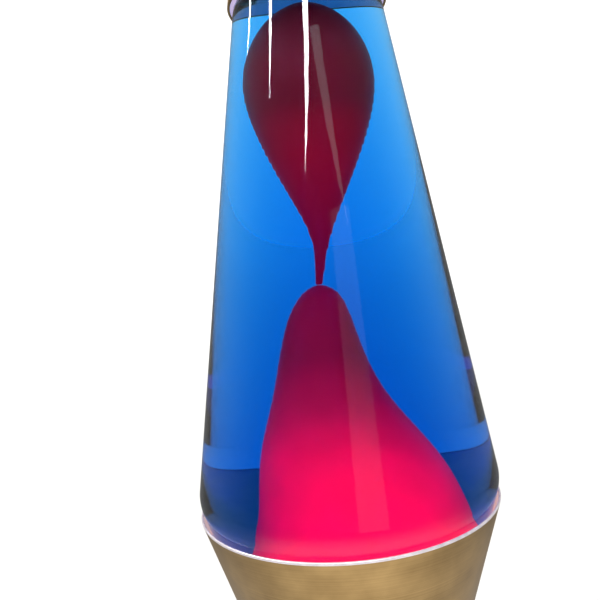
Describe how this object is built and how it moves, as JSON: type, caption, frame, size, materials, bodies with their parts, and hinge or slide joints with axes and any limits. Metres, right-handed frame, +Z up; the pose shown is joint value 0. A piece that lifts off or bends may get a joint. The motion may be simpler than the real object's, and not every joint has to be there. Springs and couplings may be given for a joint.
{
  "type": "liquid motion lamp",
  "caption": "Tapered glass bottle of clear blue fluid and red wax, standing in the upper cup of a waisted gold metal base with a small bulb inside, under a loose tapered cap.",
  "frame": {"origin": "on the table under the lamp's centre line", "axes": "+Z up along the centre line; +Y towards the cord inlet at the back; the front faces -Y"},
  "size_m": [0.0988, 0.0988, 0.3683],
  "materials": {
    "gold_metal": "satin",
    "bottle_glass": "gloss",
    "closure_steel": "gloss",
    "liner": "matte",
    "blue_fluid": "gloss",
    "red_wax": "satin",
    "spring_steel": "gloss",
    "rivet_metal": "satin",
    "black_rubber": "matte",
    "plate_steel": "satin",
    "zinc_steel": "satin",
    "screw_steel": "gloss",
    "brass_parts": "satin",
    "phenolic": "satin",
    "bulb_glass": "gloss",
    "black_glass": "gloss",
    "solder": "satin",
    "lead_wire": "gloss",
    "tungsten": "satin"
  },
  "bodies": {
    "base": {"base_cup": "gold_metal", "base_skirt": "gold_metal", "waist_rivets": "rivet_metal", "cord_inlet_bushing": "black_rubber", "bottom_plate": "plate_steel", "plate_screws": "screw_steel", "foot_pads": "black_rubber", "holder_bracket": "zinc_steel", "bracket_rivets": "rivet_metal", "holder_body": "phenolic", "holder_screws": "screw_steel", "terminal_screws": "brass_parts", "centre_contact": "brass_parts", "holder_sleeve": "brass_parts"},
    "globe": {"globe_bottle": "bottle_glass", "bottle_closure": "closure_steel", "closure_liner": "liner", "fluid": "blue_fluid", "wax_drop": "red_wax", "wax_pool": "red_wax", "warming_coil": "spring_steel"},
    "cap": {"cap": "gold_metal"},
    "bulb": {"bulb_glass": "bulb_glass", "bulb_sleeve": "brass_parts", "bulb_insulator": "black_glass", "bulb_tip_contact": "solder", "filament_stem": "bulb_glass", "lead_wires": "lead_wire", "filament": "tungsten"}
  },
  "joints": [
    {"name": "globe_lift", "type": "slide", "parent": "base", "child": "globe", "axis": [0, 0, 1], "range_m": [0, 0.06]},
    {"name": "cap_lift", "type": "slide", "parent": "globe", "child": "cap", "axis": [0, 0, 1], "range_m": [0, 0.06]},
    {"name": "bulb_turn", "type": "hinge", "parent": "base", "child": "bulb", "pos_m": [0, 0, 0.06], "axis": [0, 0, 1], "range_deg": [0, 1080]}
  ]
}
